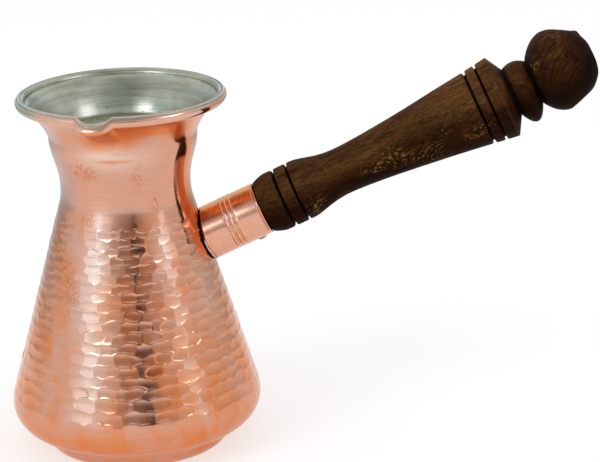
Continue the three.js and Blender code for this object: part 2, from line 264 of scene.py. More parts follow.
# Hammer marks. Pairs are for the top and bottom rows. DRAWN values are the range or spread of a random draw.
MARK_WIDTH = (5.0, 6.4)
MARK_DEPTH = (0.105, 0.135)
MARK_CUP = (1.5, 0.65)
MARK_LAP = (1.26, 1.16)
MARK_EDGE = 0.24
MARK_ENDS = 0.75
MARK_ENDS_POWER = 2.2
MARK_SQUAT = 1.04
MARK_ROWS = 21
FIRST_ROW = 8
ZONE_TOP = 92.6
ZONE_BOTTOM = 17.8
ROWS_FROM = ZONE_TOP - 1.2
ROWS_SPAN = ZONE_TOP - ZONE_BOTTOM - 3.0
ROWS_EVEN = 0.78
DRAWN_WIDTH = (0.9, 1.1)
DRAWN_DEPTH = (0.7, 1.35)
DRAWN_SIZE = (0.93, 1.1)
DRAWN_ASIDE = 0.11
DRAWN_RAISED = 0.1
DRAWN_TILT = 0.07
DRAWN_LEAN = 0.022
UNMARKED = -9.0


def hammered(radius, height, azimuth):
    """How far the planishing hammer has sunk the wall at each point.

    The marks are shallow oval bowls in rows, side by side with hardly an edge between them. A later row cuts
    off the edge of the row before it, and the rows were laid upwards and downwards from one in the upper half
    of the wall.
    """
    share = np.linspace(0, 1, MARK_ROWS)
    rows = ROWS_FROM - ROWS_SPAN * (ROWS_EVEN * share + (1 - ROWS_EVEN) * share**2)
    pitch = -np.gradient(rows)
    sunk = np.zeros(radius.shape)
    for k in [FIRST_ROW, *range(FIRST_ROW - 1, -1, -1), *range(FIRST_ROW + 1, MARK_ROWS)]:
        wall = CONE_FOOT[0] + (rows[k] - CONE_FOOT[1]) * CONE_SLOPE
        pairs = (MARK_WIDTH, MARK_DEPTH, MARK_CUP)
        width, deep, cup = (np.interp(share[k], (0, 1), pair) for pair in pairs)
        count = 2 * int(round(TURN * wall / (2 * width * rng.uniform(*DRAWN_WIDTH))))
        shift = rng.uniform(0, 1)
        aside = rng.normal(0, DRAWN_ASIDE, count)
        raised = rng.normal(0, DRAWN_RAISED, count) * pitch[k]
        depth = deep * rng.uniform(*DRAWN_DEPTH, count)
        tilt = rng.normal(0, DRAWN_TILT, count)
        lean = rng.normal(0, DRAWN_LEAN, count)
        size = rng.uniform(*DRAWN_SIZE, count)
        place = azimuth / TURN * count + shift
        bowl = np.full(radius.shape, UNMARKED)
        cover = np.zeros(radius.shape)
        for parity in (0, 1):
            index = 2 * np.round((place - 0.5 - parity) / 2).astype(int) + parity
            which = index % count
            across = (place - (index + 0.5 + aside[which])) * TURN * wall / count
            along = (height - rows[k] - raised[which]) * MARK_SQUAT + tilt[which] * across
            u = across / (width / 2 * MARK_LAP[0] * size[which])
            v = along / (pitch[k] / 2 * MARK_LAP[1] * size[which])
            out = np.hypot(u, v)
            mark = depth[which] * (1 - cup * u**2 - MARK_ENDS * np.abs(v) ** MARK_ENDS_POWER)
            mark = mark + lean[which] * across
            bowl = np.maximum(bowl, np.where(out < 1 + MARK_EDGE, mark, UNMARKED))
            cover = np.maximum(cover, 1 - smoothstep(out, 1, 1 + MARK_EDGE))
        sunk = np.where(cover > 0, sunk * (1 - cover) + bowl * cover, sunk)
    sunk = sunk * smoothstep(height, ZONE_BOTTOM - 0.6, ZONE_BOTTOM + 1.2)
    return sunk * smoothstep(height, ZONE_TOP, 89.0)


# Surfaces of revolution
LEDGE_HEIGHT = 116.9
LEDGE_TALL = 2.2
LEDGE_RISE = 0.42
LEDGE_FRONT, LEDGE_WIDE = np.radians((-101, 25))
UNEVENNESS = 0.035
ROUND_SHARE = 0.03


def neck_marks(height, azimuth):
    """Unevenness of the spun neck and foot, and the ledge on the collar's front."""
    ledge = bell(height, LEDGE_HEIGHT, LEDGE_TALL) * bell(wrapped(azimuth - LEDGE_FRONT), 0, LEDGE_WIDE, 4)
    waves = noise_about(azimuth, height, 9, (5, 0.12), 5) * UNEVENNESS
    return LEDGE_RISE * ledge + waves * smoothstep(height, 8, 20) * (1 - smoothstep(height, 126, 131))


def revolve(profile, around, marked=False):
    """Rings of points from a profile, with the lip and, where asked, the marks of the work on it."""
    radius, azimuth = np.meshgrid(profile[:, 0], all_round(around), indexing="ij")
    height = np.repeat(profile[:, 1][:, None], around, 1)
    if marked:
        out = unit(np.column_stack([np.gradient(profile[:, 1]), -np.gradient(profile[:, 0])]))
        moved = neck_marks(height, azimuth) - hammered(radius, height, azimuth)
        radius = radius + moved * out[:, :1]
        height = height + moved * out[:, 1:]
    radius, height = pressed(radius, height, azimuth)
    return np.stack([radius * np.cos(azimuth), radius * np.sin(azimuth), height], -1)


def turning(profile, places, around):
    """Coordinates for turned lines: millimetres along the profile, and slowly round the axis."""
    steps = np.linalg.norm(np.diff(profile, axis=0), axis=1)
    along = np.repeat(np.concatenate([[0], np.cumsum(steps)]), around)
    return np.vstack([np.column_stack([along, places[: len(along), :2] * ROUND_SHARE]), np.zeros((2, 3))])


def patch(places, azimuth, height, wide, tall):
    """A soft spot on the shell, 1 in its middle, at an azimuth in degrees."""
    x, y, z = places.T
    off = wrapped(np.arctan2(y, x) - math.radians(azimuth)) * np.hypot(x, y)
    return bell(off, 0, wide) * bell(z, height, tall)


def spotted(places, spots):
    """Soft spots added up; the first value of each is its amount."""
    return sum(amount * patch(places, *spot) for amount, *spot in spots)


# Shell. A spot is its amount, azimuth in degrees, height, width and height of its own.
SHELL_AROUND = 720
TINNED_SIDE = -175
LIP_TARNISH = [(0.9, -99, 122.5, 7, 4), (0.9, -104, 127.5, 6, 3.5), (1.4, -43, 127, 4, 5)]
# Painted highlight: paler copper low in the cone's left highlight column
LEFT_COLUMN_PAINTED_HIGHLIGHT = [(-0.35, -117, 34, 11, 20)]
# Painted reflection: the dark orange line along the ledge on the collar's front
LEDGE_REFLECTION = (-98, 116.4, 6, 0.7)
# Painted highlights: paler copper round the ledge's streak, in spots on the cone and on the bead
LEDGE_PAINTED_HIGHLIGHT = (-100, 117.0, 12, 4.2)
PAINTED_HIGHLIGHTS = [(0.4, -114, 72, 5, 24), (0.55, -63, 83, 4, 9), (0.36, -30, 62, 8, 14)]
STAINS = [
    (1, -129, 112, 5.5, 4.0), (1, -119, 111, 3.5, 3.5), (1, -137, 72, 7, 6), (1, -131, 64, 6, 7),
    (1, -150, 80, 5, 6), (1, -122, 93, 4, 3), (1, -62, 97, 3, 8), (1, -78, 110, 2.5, 7),
    (1, 20, 60, 8, 6), (1, 75, 82, 6, 9), (1, 160, 50, 9, 7),
]


def still_tinned(degrees):
    """1 where the tin still covers the rolled edge, on the side away from the handle."""
    off = np.abs((degrees - TINNED_SIDE + 180) % 360 - 180)
    return smoothstep(off, 37, 28)


def shell_values(places):
    """What the copper shows at each point of the shell."""
    x, y, z = places.T
    azimuth = np.arctan2(y, x)
    degrees = np.degrees(azimuth)
    below_bead = smoothstep(z, 131.6, 130.6)
    lower_cone = smoothstep(z, 92, 60)
    low_left = smoothstep(degrees, -115, -140) * smoothstep(z, 70, 50)
    foot = smoothstep(z, 19, 13) * smoothstep(z, 6.5, 7.5)
    # Painted shade: a darker line in the crease where the belly turns under to the foot
    foot_crease_shade = bell(z, 10.4, 1.3)
    collar = smoothstep(z, 92, 98) * smoothstep(z, 124, 118)
    under_lip = smoothstep(z, 123.5, 129.5) * smoothstep(degrees, -116, -104)
    # Deeper copper on the handle's side: heat-tarnished copper by the soldered joint, and partly a painted
    # reflection of the ferrule's copper
    handle_heat_tint_and_reflection = smoothstep(np.abs(azimuth), 0.62, 0.5) * smoothstep(z, 70, 80)
    cone_sides = smoothstep(np.abs(azimuth + math.pi / 2), 0.7, 1.2) * smoothstep(z, 96, 88)
    # painted reflection along the ledge
    ledge_reflection = patch(places, *LEDGE_REFLECTION)
    tarnish_and_painted_light = 0.26 * lower_cone - 0.15 * low_left + 0.28 * foot + 0.3 * foot_crease_shade - 0.2 * collar
    tarnish_and_painted_light = tarnish_and_painted_light + (0.9 * under_lip + spotted(places, LIP_TARNISH)) * below_bead + 1.8 * ledge_reflection
    tarnish_and_painted_light = tarnish_and_painted_light + spotted(places, LEFT_COLUMN_PAINTED_HIGHLIGHT) + 0.9 * handle_heat_tint_and_reflection + 0.15 * cone_sides
    behind = smoothstep(degrees, -112, -150) + smoothstep(degrees, 120, 180)
    # Painted highlights in paler copper, round the ledge's streak, on the cone and on the bead
    painted_highlight = 0.9 * patch(places, *LEDGE_PAINTED_HIGHLIGHT) * (1 - 0.95 * ledge_reflection) + spotted(places, PAINTED_HIGHLIGHTS)
    bead_outside = smoothstep(np.hypot(x, y), RIM_RADIUS - 4.0, RIM_RADIUS - 3.2)
    bead = bead_outside * smoothstep(z, RIM_HEIGHT - 4.2, RIM_HEIGHT - 3.4)
    ragged = 0.5 * noise_about(azimuth, 0 * azimuth, 6, (23, 0), 8)
    bead_top = 0.6 * smoothstep(z + ragged, RIM_HEIGHT - 0.6, RIM_HEIGHT - 0.1)
    return {
        "tarnish_and_painted_light": tarnish_and_painted_light,
        "brushed": smoothstep(z, 90, 95) * smoothstep(np.abs(azimuth), 1.05, 1.25) + smoothstep(z, 19, 17),
        # painted reflection: greyer copper high on the left side and behind
        "painted_grey_reflection": 0.8 * behind * smoothstep(z, 88, 100),
        "painted_highlight": np.maximum(painted_highlight, 0.3 * bead),
        "stained": spotted(places, STAINS),
        "tinned": np.clip(bead * np.maximum(still_tinned(degrees), bead_top), 0, 1),
    }


under = underside([12, 22, 230, 16, 44, 30, 6])
curl_bore = arc(CURL_CENTRE, CURL_BORE, math.pi, CURL_END, 8)[1:]
curl_side = arc(CURL_CENTRE, CURL_RADIUS, math.pi, CURL_END, 26)[::-1]
upper = offset(underside([2, 6, 10, 3, 5, 6, 3]), SHEET)[::-1][1:]
unmarked = np.vstack([curl_bore, curl_side, upper])
outer_rings = revolve(under, SHELL_AROUND, marked=True)
outer_rings[0, :, 2] = 0
shell_rings = np.concatenate([outer_rings, revolve(unmarked, SHELL_AROUND)])
shell_places = with_ends(shell_rings, (0, 0, 0), (0, 0, SHEET))
shell_turning = turning(np.vstack([under, unmarked]), shell_places, SHELL_AROUND)
shell = mesh_object(
    "copper_shell",
    shell_places,
    capped(len(shell_rings), SHELL_AROUND),
    {**shell_values(shell_places), "turning": shell_turning},
)

# Tin coat
TIN_AROUND = 320
TIN_CURL_STEPS = 30
SHELF_DEPTH = 0.32
smooth_under = underside([4, 12, 24, 10, 24, 24, 5])
coat_curl = arc(CURL_CENTRE, CURL_RADIUS + TIN, math.pi, CURL_END, TIN_CURL_STEPS)
seat_curl = arc(CURL_CENTRE, CURL_RADIUS, math.pi, CURL_END, TIN_CURL_STEPS)
edge_step = int(round((math.pi - TIN_EDGE) / CURL_SWEEP * TIN_CURL_STEPS))
coat_end = seat_curl[edge_step : edge_step + 1]
coat_face = np.vstack([offset(smooth_under, SHEET + TIN), coat_curl[1:edge_step], coat_end])
coat_seat = np.vstack([offset(smooth_under, SHEET), seat_curl[1:edge_step]])
lining_profile = np.vstack([coat_seat, coat_face[::-1]])
on_face = np.arange(len(lining_profile)) >= len(coat_seat)
shelf = smoothstep(lining_profile[:, 1], 122.2, 119.6) * smoothstep(lining_profile[:, 1], 106, 118)
lining_profile[:, 0] -= SHELF_DEPTH * shelf * on_face
lining_rings = revolve(lining_profile, TIN_AROUND)
lining_places = with_ends(lining_rings, (0, 0, SHEET), (0, 0, SHEET + TIN))


def lining_values(places):
    """Where the tin is worn through to copper on the bead, and where it lies deep in the pot, which gets a
    painted light.
    """
    x, y, z = places.T
    outside = smoothstep(np.hypot(x, y), RIM_RADIUS - 2.6, RIM_RADIUS - 1.0)
    on_bead = outside * smoothstep(z, RIM_HEIGHT - 3.4, RIM_HEIGHT - 2.4)
    return {
        "worn": on_bead * (1 - still_tinned(np.degrees(np.arctan2(y, x)))),
        # painted light deep in the pot
        "deep": smoothstep(z, 121, 117),
    }


lining = mesh_object(
    "tin_coat",
    lining_places,
    capped(len(lining_rings), TIN_AROUND),
    {**lining_values(lining_places), "turning": turning(lining_profile, lining_places, TIN_AROUND)},
)


# Handle frame
WALL_SEARCH = (12.0, 60.0)


def from_handle(places):
    """Places in the handle's frame (along, aside, up) to the pot's."""
    along, aside, up = np.moveaxis(np.asarray(places, float), -1, 0)
    x = along * math.cos(RISE) - up * math.sin(RISE)
    z = along * math.sin(RISE) + up * math.cos(RISE) + HANDLE_ORIGIN
    return np.stack([x, aside, z], -1)


def wall_along(angle, radius, off):
    """How far out a line along the handle, at an angle and radius about it, stands off the wall.

    The two values of off are the gaps at the top and underneath.
    """
    aside = radius * np.sin(angle)
    up = radius * np.cos(angle)
    low, high = (np.full(np.shape(angle), end) for end in WALL_SEARCH)
    for _ in range(40):
        middle = (low + high) / 2
        x, y, z = np.moveaxis(from_handle(np.stack([middle, aside, up], -1)), -1, 0)
        share = (z - (SEAT_HEIGHT - FERRULE_RADIUS)) / (2 * FERRULE_RADIUS)
        gap = off[1] + (off[0] - off[1]) * share
        wall = CONE_FOOT[0] + (z - CONE_FOOT[1]) * CONE_SLOPE + gap / cone_along[1]
        inside = np.hypot(x, y) < wall
        low = np.where(inside, middle, low)
        high = np.where(inside, high, middle)
    return (low + high) / 2


def turned_rings(profile, around):
    """Rings about the handle's axis, from a profile of (along, radius)."""
    angle = all_round(around)
    along = np.repeat(profile[:, 0][:, None], around, 1)
    radius = profile[:, 1][:, None]
    return np.stack([along, radius * np.sin(angle), radius * np.cos(angle)], -1)


# Ferrule
FERRULE_AROUND = 160
FOOT_SHARES = (0.0, 0.06, 0.3, 0.6)
ferrule_angle = all_round(FERRULE_AROUND)
ferrule_foot = wall_along(ferrule_angle, FERRULE_RADIUS, STAND_OFF)
tube_start = ferrule_foot.max() + 0.4
ridge_steps = np.linspace(-0.95, 0.95, 17)
ridge_shape = 0.2 * bell(ridge_steps, 0, 0.24) - 0.07 * bell(np.abs(ridge_steps), 0.55, 0.16)
groove_steps = np.linspace(-0.5, 0.5, 11)
groove_shape = -0.42 * bell(groove_steps, 0, 0.2)
tube_outline = [[(tube_start, FERRULE_RADIUS)]]
for ridge in sorted(RIDGES):
    tube_outline.append(np.column_stack([ridge + ridge_steps, FERRULE_RADIUS + ridge_shape]))
tube_outline.append(np.column_stack([FERRULE_MOUTH - 0.75 + groove_steps, FERRULE_RADIUS + groove_shape]))
tube_outline.append([(FERRULE_MOUTH - 0.12, FERRULE_RADIUS - 0.03), (FERRULE_MOUTH, FERRULE_RADIUS - 0.2)])
tube_outline.append([(FERRULE_MOUTH, FERRULE_BORE), (tube_start, FERRULE_BORE)])
tube_rings = turned_rings(np.vstack(tube_outline), FERRULE_AROUND)
foot_rings = np.repeat(tube_rings[:1], len(FOOT_SHARES), 0)
for foot_ring, foot_share in zip(foot_rings, FOOT_SHARES):
    foot_ring[:, 0] = ferrule_foot + (tube_start - ferrule_foot) * foot_share
foot_rings[0, :, 1:] *= 0.98
bore_ring = tube_rings[-1:].copy()
bore_ring[0, :, 0] = wall_along(ferrule_angle, FERRULE_BORE, STAND_OFF)
ferrule_rings = np.concatenate([foot_rings, tube_rings, bore_ring])
tube_along, tube_aside, tube_up = ferrule_rings.reshape(-1, 3).T
tube_angle = np.arctan2(tube_aside, tube_up)
tube_none = np.zeros(len(tube_along))
ferrule = mesh_object(
    "ferrule",
    from_handle(ferrule_rings).reshape(-1, 3),
    ring_faces(len(ferrule_rings), FERRULE_AROUND, closed=True),
    {
        # the deeper orange along the ferrule's top is a painted reflection of the pot's copper
        "tarnish_and_painted_light": 0.7 * smoothstep(np.cos(tube_angle), 0.72, 0.82) - 0.2,
        "brushed": tube_none + 1,
        "painted_grey_reflection": tube_none,
        "painted_highlight": tube_none,
        "stained": 0.9 * bell(tube_along, RIDGES[1], 2.2) * (tube_up < 0)
        + 0.8 * bell(tube_along, tube_start - 1.0, 1.2),
        "tinned": tube_none,
        "turning": np.column_stack([tube_angle * FERRULE_RADIUS, tube_along * ROUND_SHARE, tube_none]),
    },
)

# Solder
SOLDER_SIDES = 14
SOLDER_WIDEST = math.radians(112)
SOLDER_BED = 0.75
SOLDER_FILM = (0.04, 0.04)
solder_wall = wall_along(ferrule_angle, FERRULE_RADIUS, SOLDER_FILM)
crescent = bell(np.abs(wrapped(ferrule_angle)), SOLDER_WIDEST, 0.62)
ragged_edge = noise_about(ferrule_angle, 0 * ferrule_angle, 7, (17, 0), 3)
solder_proud = (0.2 + 0.05 * ragged_edge) * crescent
solder_end = ferrule_foot + 0.03 + (0.3 + 0.1 * ragged_edge) * crescent
clean = smoothstep(crescent + 0.3 * ragged_edge, 0.3, 0.8)
solder_rings = []
gap_shade = []
for side in all_round(SOLDER_SIDES):
    side_along = (solder_wall + solder_end) / 2 - math.cos(side) * (solder_end - solder_wall) / 2
    fullness = 1 if math.sin(side) > 0 else 0.9
    side_out = FERRULE_RADIUS - SOLDER_BED + (SOLDER_BED + solder_proud) * fullness * math.sin(side)
    side_ring = [side_along, side_out * np.sin(ferrule_angle), side_out * np.cos(ferrule_angle)]
    solder_rings.append(np.stack(side_ring, -1))
    side_share = (side_along - solder_wall) / np.maximum(solder_end - solder_wall, 0.01)
    # painted shade of the gap against the wall, on the solder's wall side
    gap_shade.append(1 - smoothstep(side_share, 0.35, 0.6) * clean)
solder = mesh_object(
    "solder",
    from_handle(np.array(solder_rings)).reshape(-1, 3),
    ring_faces(SOLDER_SIDES, FERRULE_AROUND, closed=True),
    {"gap_shade": np.concatenate(gap_shade)},
)

# Wooden handle
TENON_LENGTH = 13.0
TENON_RADIUS = FERRULE_BORE - 0.12
COLLAR_BEVEL = 4.85
COLLAR_LENGTH = 16.05
GRIP_WAIST = (32.85, 8.8)
SHOULDER = (87.75, 14.35)
SHOULDER_END = (97.75, 15.8)
FRONT_NECK = (101.75, 9.2)
BEAD = (106.25, 14.0)
BEAD_WEAR = 0.36
BACK_NECK = (110.65, 8.5)
BALL = (120.25, 15.5)
BALL_LIFT = 0.55
BALL_POINTED = 1.08
HANDLE_LENGTH = 136.0
GROOVES = [8.8, 14.2, 88.5, 92.95]
GROOVE_DEPTH = 1.35
FINE_STEP = 0.1
COARSE_STEP = 0.7
WOOD_AROUND = 192

# Flats filed on the ball, as bearing in degrees and distance from its middle, and the nub beside them
BALL_FLATS = [(60, 14.75), (1, 14.4), (-10, 14.8), (-71, 14.35), (-137, 13.9), (20, 15.0)]
FLAT_LEAN = 0.29
FLAT_SOFTNESS = 0.16
NUB_BEARING = 38
NUB_RISE = 0.75
NUB_SIZE = 0.004

# A small pit in the ball and shallow dents on the grip: a place along the handle, a bearing in degrees from
# its top towards the camera, size and depth
DENTS = [
    (113.2, -52, 0.9, 0.5), (114.6, -44, 0.7, 0.3), (28, -60, 2.2, 0.22), (64, -125, 1.4, 0.3),
    (70, -118, 1.1, 0.25), (47, -110, 1.3, 0.25), (53, -128, 1.0, 0.2), (80, -80, 1.5, 0.12),
    (18.5, -70, 2.6, 0.3), (90.5, -120, 1.2, 0.15),
]

# Places of golden flecks and of arched grain about knots, followed by length and width
SPECKLED = [
    (52, -90, 5, 4), (45, -98, 5, 3), (57, -108, 8, 3), (74, -86, 2, 2), (30, -142, 2.5, 2.5),
    (19, -122, 4, 5), (123.5, -23, 3, 4), (113.5, -48, 2, 3), (85, -108, 8, 3), (66, 70, 9, 6),
    (35, 100, 8, 6),
]
KNOTS = [(71.5, -132, 13, 9), (20, -140, 6, 6), (60, 95, 12, 8)]
FAR_FROM_KNOTS = 90.0

# Painted light and shade on the wood: lighter on the handle's top, darker on its underside, and its level
# differs along it
PAINTED_LIGHT_SIDES = (-0.6, -0.3, -0.1, 0.1, 0.3, 0.5, 0.7, 0.9)
PAINTED_LIGHT_LEVELS = (0.28, 0.4, 0.56, 0.78, 1.08, 1.34, 1.5, 1.6)
PAINTED_LIGHT_STATIONS = (0, 20, 45, 60, 75, 87, 96, 105, 114, 123, 132)
PAINTED_LIGHT_ALONG = (0.8, 0.88, 1.05, 0.78, 1.0, 1.4, 1.1, 0.78, 0.58, 0.8, 0.25)


def grip_outline():
    hollow = (GRIP_WAIST[0] - COLLAR_LENGTH) / 4
    swelling = (SHOULDER[0] - GRIP_WAIST[0]) / 5
    rise = (SHOULDER[1] - GRIP_WAIST[1]) / 2
    collar_end = (COLLAR_LENGTH, COLLAR_OUTER)
    past_collar = (COLLAR_LENGTH + hollow, COLLAR_OUTER)
    before_waist = (GRIP_WAIST[0] - 2 * hollow, GRIP_WAIST[1])
    past_waist = (GRIP_WAIST[0] + swelling, GRIP_WAIST[1])
    before_shoulder = (SHOULDER[0] - 2 * swelling, SHOULDER[1] - rise)
    return joined(
        np.array([(COLLAR_BEVEL, COLLAR_OUTER), collar_end]),
        bezier(collar_end, past_collar, before_waist, GRIP_WAIST, 30),
        bezier(GRIP_WAIST, past_waist, before_shoulder, SHOULDER, 60),
        np.array([SHOULDER, SHOULDER_END]),
    )


def with_grooves(outline):
    """The outline sampled closely enough for its scored lines, which are cut into it."""
    steps = [COLLAR_BEVEL]
    while steps[-1] < SHOULDER_END[0] - 1e-6:
        here = steps[-1]
        close = min(abs(here - g) for g in GROOVES) < 1.0
        steps.append(min(here + (FINE_STEP if close else COARSE_STEP), SHOULDER_END[0]))
    along = np.array(steps)
    radius = np.interp(along, outline[:, 0], outline[:, 1])
    for g in GROOVES:
        off = np.abs(along - g)
        cut = 1 / (1 + np.exp((off - 0.42) / 0.045))
        radius = radius - GROOVE_DEPTH * cut - 0.1 * bell(off, 0.66, 0.16)
    return np.column_stack([along, radius])


def ball_outline():
    neck = math.asin((BACK_NECK[1] / BALL[1]) ** (1 / BALL_POINTED))
    short = (BALL[0] - BACK_NECK[0]) / math.cos(neck) ** BALL_POINTED
    long = HANDLE_LENGTH - BALL[0]
    near = np.linspace(neck, math.pi / 2, 17)[1:]
    far = np.linspace(math.pi / 2, 0, 31)[1:-1]
    along = np.concatenate([-short * np.cos(near) ** BALL_POINTED, long * np.cos(far) ** BALL_POINTED])
    radius = BALL[1] * np.sin(np.concatenate([near, far])) ** BALL_POINTED
    return np.column_stack([BALL[0] + along, radius])


def bead_outline():
    front = bent(FRONT_NECK, ((FRONT_NECK[0] + BEAD[0]) / 2, BEAD[1]), BEAD, 12)
    back = bent(BEAD, ((BEAD[0] + BACK_NECK[0]) / 2, BEAD[1]), BACK_NECK, 12)
    return joined(front, back)


def ball_way(bearing):
    """The direction out of the ball at a bearing, seen from the camera's side."""
    bearing = math.radians(bearing)
    return unit(np.array([math.cos(bearing), FLAT_LEAN * math.sin(bearing), math.sin(bearing)]))


def with_flats(places):
    """The ball with the flats that were filed on it, and the small nub left between two of them."""
    centre = np.array([COLLAR_FACE + BALL[0], 0, BALL_LIFT])
    part = places - centre
    for bearing, distance in BALL_FLATS:
        way = ball_way(bearing)
        over = (part @ way - distance) / FLAT_SOFTNESS
        part = part - np.logaddexp(0, over)[:, None] * FLAT_SOFTNESS * way
    aim = part / np.maximum(np.linalg.norm(part, axis=1), 1e-9)[:, None]
    part = part + (NUB_RISE * np.exp(-((1 - aim @ ball_way(NUB_BEARING)) / NUB_SIZE)))[:, None] * aim
    return np.where(places[:, :1] > COLLAR_FACE + BACK_NECK[0] + 0.5, part + centre, places)


wood_profile = np.vstack(
    [
        [(-TENON_LENGTH, TENON_RADIUS - 1), (-TENON_LENGTH + 1, TENON_RADIUS), (0, TENON_RADIUS)],
        [(0, 9.45), (0.12, 9.7), (0.9, 10.15), (2.4, 10.75), (3.8, 11.15)],
        with_grooves(grip_outline()),
        [(SHOULDER_END[0] + 0.25, SHOULDER_END[1] - 0.15)],
        [(98.3, 15.2), (99.2, 13.6), (100.4, 11.5), (101.3, 9.9)],
        bead_outline(),
        ball_outline(),
    ]
)
wood_profile[:, 0] += COLLAR_FACE
wood_rings = turned_rings(wood_profile, WOOD_AROUND)
tenon_tip = (COLLAR_FACE - TENON_LENGTH, 0, 0)
ball_tip = (COLLAR_FACE + HANDLE_LENGTH, 0, 0)
wood_places = with_ends(wood_rings, tenon_tip, ball_tip)
wood_along = wood_places[:, 0] - COLLAR_FACE
wood_radius = np.hypot(wood_places[:, 1], wood_places[:, 2])
wood_angle = np.arctan2(wood_places[:, 1], wood_places[:, 2])
up_share = np.divide(wood_places[:, 2], wood_radius, out=np.zeros_like(wood_radius), where=wood_radius > 0)


def off_bearing(bearing):
    """Millimetres round the handle from a bearing to each of its points."""
    return wrapped(wood_angle - math.radians(bearing)) * wood_radius


def wood_spot(along, bearing, long, wide, power=2):
    return bell(wood_along, along, long, power) * bell(off_bearing(bearing), 0, wide, power)


# The bead is worn down on its upper side, the turning is a little uneven and the ball is set high
on_bead = (wood_along > FRONT_NECK[0]) & (wood_along < BACK_NECK[0])
bead_foot = np.interp(wood_along, [FRONT_NECK[0], BACK_NECK[0]], [FRONT_NECK[1], BACK_NECK[1]])
worn_bead = bead_foot + (wood_radius - bead_foot) * (1 - BEAD_WEAR * (1 + up_share))
wood_scale = np.where(on_bead, worn_bead / np.maximum(wood_radius, 1e-9), 1)
wood_scale += 0.006 * noise_about(wood_angle, wood_along, 8, (4, 0.25), 21) * (wood_along > 1)
wood_places[:, 1:] *= wood_scale[:, None]
wood_places[:, 2] += BALL_LIFT * smoothstep(wood_along, BACK_NECK[0], BALL[0])
wood_places = with_flats(wood_places)
for dent_along, dent_bearing, dent_size, dent_depth in DENTS:
    dent = dent_depth * wood_spot(dent_along, dent_bearing, dent_size, dent_size)
    wood_places[:, 1:] *= (1 - dent / np.maximum(wood_radius, 1))[:, None]

off_grooves = [np.abs(wood_along - g) for g in GROOVES]
scored = np.maximum.reduce(
    [
        1 - smoothstep(np.min(off_grooves, 0), 0.3, 0.62),
        0.8 * bell(wood_along, 101.6, 1.5),
        0.9 * bell(wood_along, BACK_NECK[0], 1.3),
    ]
)
rubbed_edges = 0.9 * bell(wood_along, SHOULDER_END[0], 0.8) + 0.5 * bell(wood_along, BEAD[0], 1.0)
rubbed_edges = rubbed_edges + sum(0.55 * bell(off, 0.75, 0.25) for off in off_grooves)
from_knot = np.full(len(wood_along), FAR_FROM_KNOTS)
arched = np.zeros(len(wood_along))
for knot_along, knot_bearing, long, wide in KNOTS:
    open_side = smoothstep(knot_along - wood_along, -0.35 * long, 0.25 * long)
    arched = np.maximum(arched, wood_spot(knot_along, knot_bearing, long, wide, 4) * open_side)
    along_knot = (wood_along - knot_along) * wide / long
    from_knot = np.minimum(from_knot, np.hypot(along_knot, off_bearing(knot_bearing)))
painted_light_by_side = np.interp(up_share, PAINTED_LIGHT_SIDES, PAINTED_LIGHT_LEVELS)
wood = mesh_object(
    "wooden_handle",
    from_handle(wood_places),
    capped(len(wood_rings), WOOD_AROUND),
    {
        "grain": wood_places * MM,
        "scored": scored,
        "rubbed": rubbed_edges,
        "figure": np.maximum.reduce([wood_spot(*spot) for spot in SPECKLED]),
        "knot": from_knot,
        "arched": arched,
        # painted light and shade: lighter on top, darker underneath
        "shade": painted_light_by_side * np.interp(wood_along, PAINTED_LIGHT_STATIONS, PAINTED_LIGHT_ALONG),
        "ball": smoothstep(wood_along, BACK_NECK[0] - 0.5, BACK_NECK[0] + 1),
    },
)

# Brad
BRAD_AROUND = 32
BRAD_SHANK = 0.8
BRAD_HEAD = 1.7
BRAD_ALONG = FERRULE_MOUTH - 4.8
BRAD_SEAT = -FERRULE_RADIUS - 0.12
BRAD_RIM = BRAD_SEAT - 0.24
brad_profile = [(BRAD_SHANK, -FERRULE_RADIUS + 5.4), (BRAD_SHANK, BRAD_SEAT)]
brad_profile += [(BRAD_HEAD, BRAD_SEAT), (BRAD_HEAD, BRAD_RIM)]
brad_profile += [(BRAD_HEAD * math.cos(t), BRAD_RIM - 0.56 * math.sin(t)) for t in np.linspace(0.25, 1.4, 7)]
brad_out, brad_up = np.array(brad_profile).T[:, :, None]
brad_angle = all_round(BRAD_AROUND)
brad_parts = (BRAD_ALONG + brad_out * np.cos(brad_angle), brad_out * np.sin(brad_angle), brad_up)
brad_rings = np.stack(np.broadcast_arrays(*brad_parts), -1)
brad_places = with_ends(brad_rings, (BRAD_ALONG, 0, -FERRULE_RADIUS + 7), (BRAD_ALONG, 0, BRAD_SEAT - 0.8))
brad = mesh_object("brad", from_handle(brad_places), capped(len(brad_rings), BRAD_AROUND))


# Nodes. A node goes into the tree of the sockets that feed it, or into the tree named for it.
def feed(socket, value):
    """A link from another socket, or a plain value."""
    if isinstance(value, bpy.types.NodeSocket):
        socket.id_data.links.new(value, socket)
    elif socket.type == "RGBA":
        socket.default_value = (*value, 1)
    else:
        socket.default_value = value


def added(kind, inputs, tree=None, **settings):
    """A node of a kind; its inputs go by name or number."""
    if tree is None:
        tree = next(value.id_data for value in inputs.values() if isinstance(value, bpy.types.NodeSocket))
    node = tree.nodes.new(kind)
    for key, value in settings.items():
        setattr(node, key, value)
    for key, value in inputs.items():
        feed(node.inputs[key], value)
    return node


def noise(place, scale, detail=4, roughness=0.55, stretch=None, distortion=0):
    """A noise over a place, its size given by scale, and drawn out along the axes by stretch."""
    if stretch:
        place = added("ShaderNodeMapping", {"Vector": place, "Scale": stretch}).outputs["Vector"]
    inputs = {"Vector": place, "Scale": scale, "Detail": detail}
    inputs |= {"Roughness": roughness, "Distortion": distortion}
    return added("ShaderNodeTexNoise", inputs).outputs["Fac"]


def spread(value, low, high, to_low=0, to_high=1, interpolation="SMOOTHSTEP"):
    inputs = {"Value": value, "From Min": low, "From Max": high, "To Min": to_low, "To Max": to_high}
    return added("ShaderNodeMapRange", inputs, interpolation_type=interpolation).outputs["Result"]


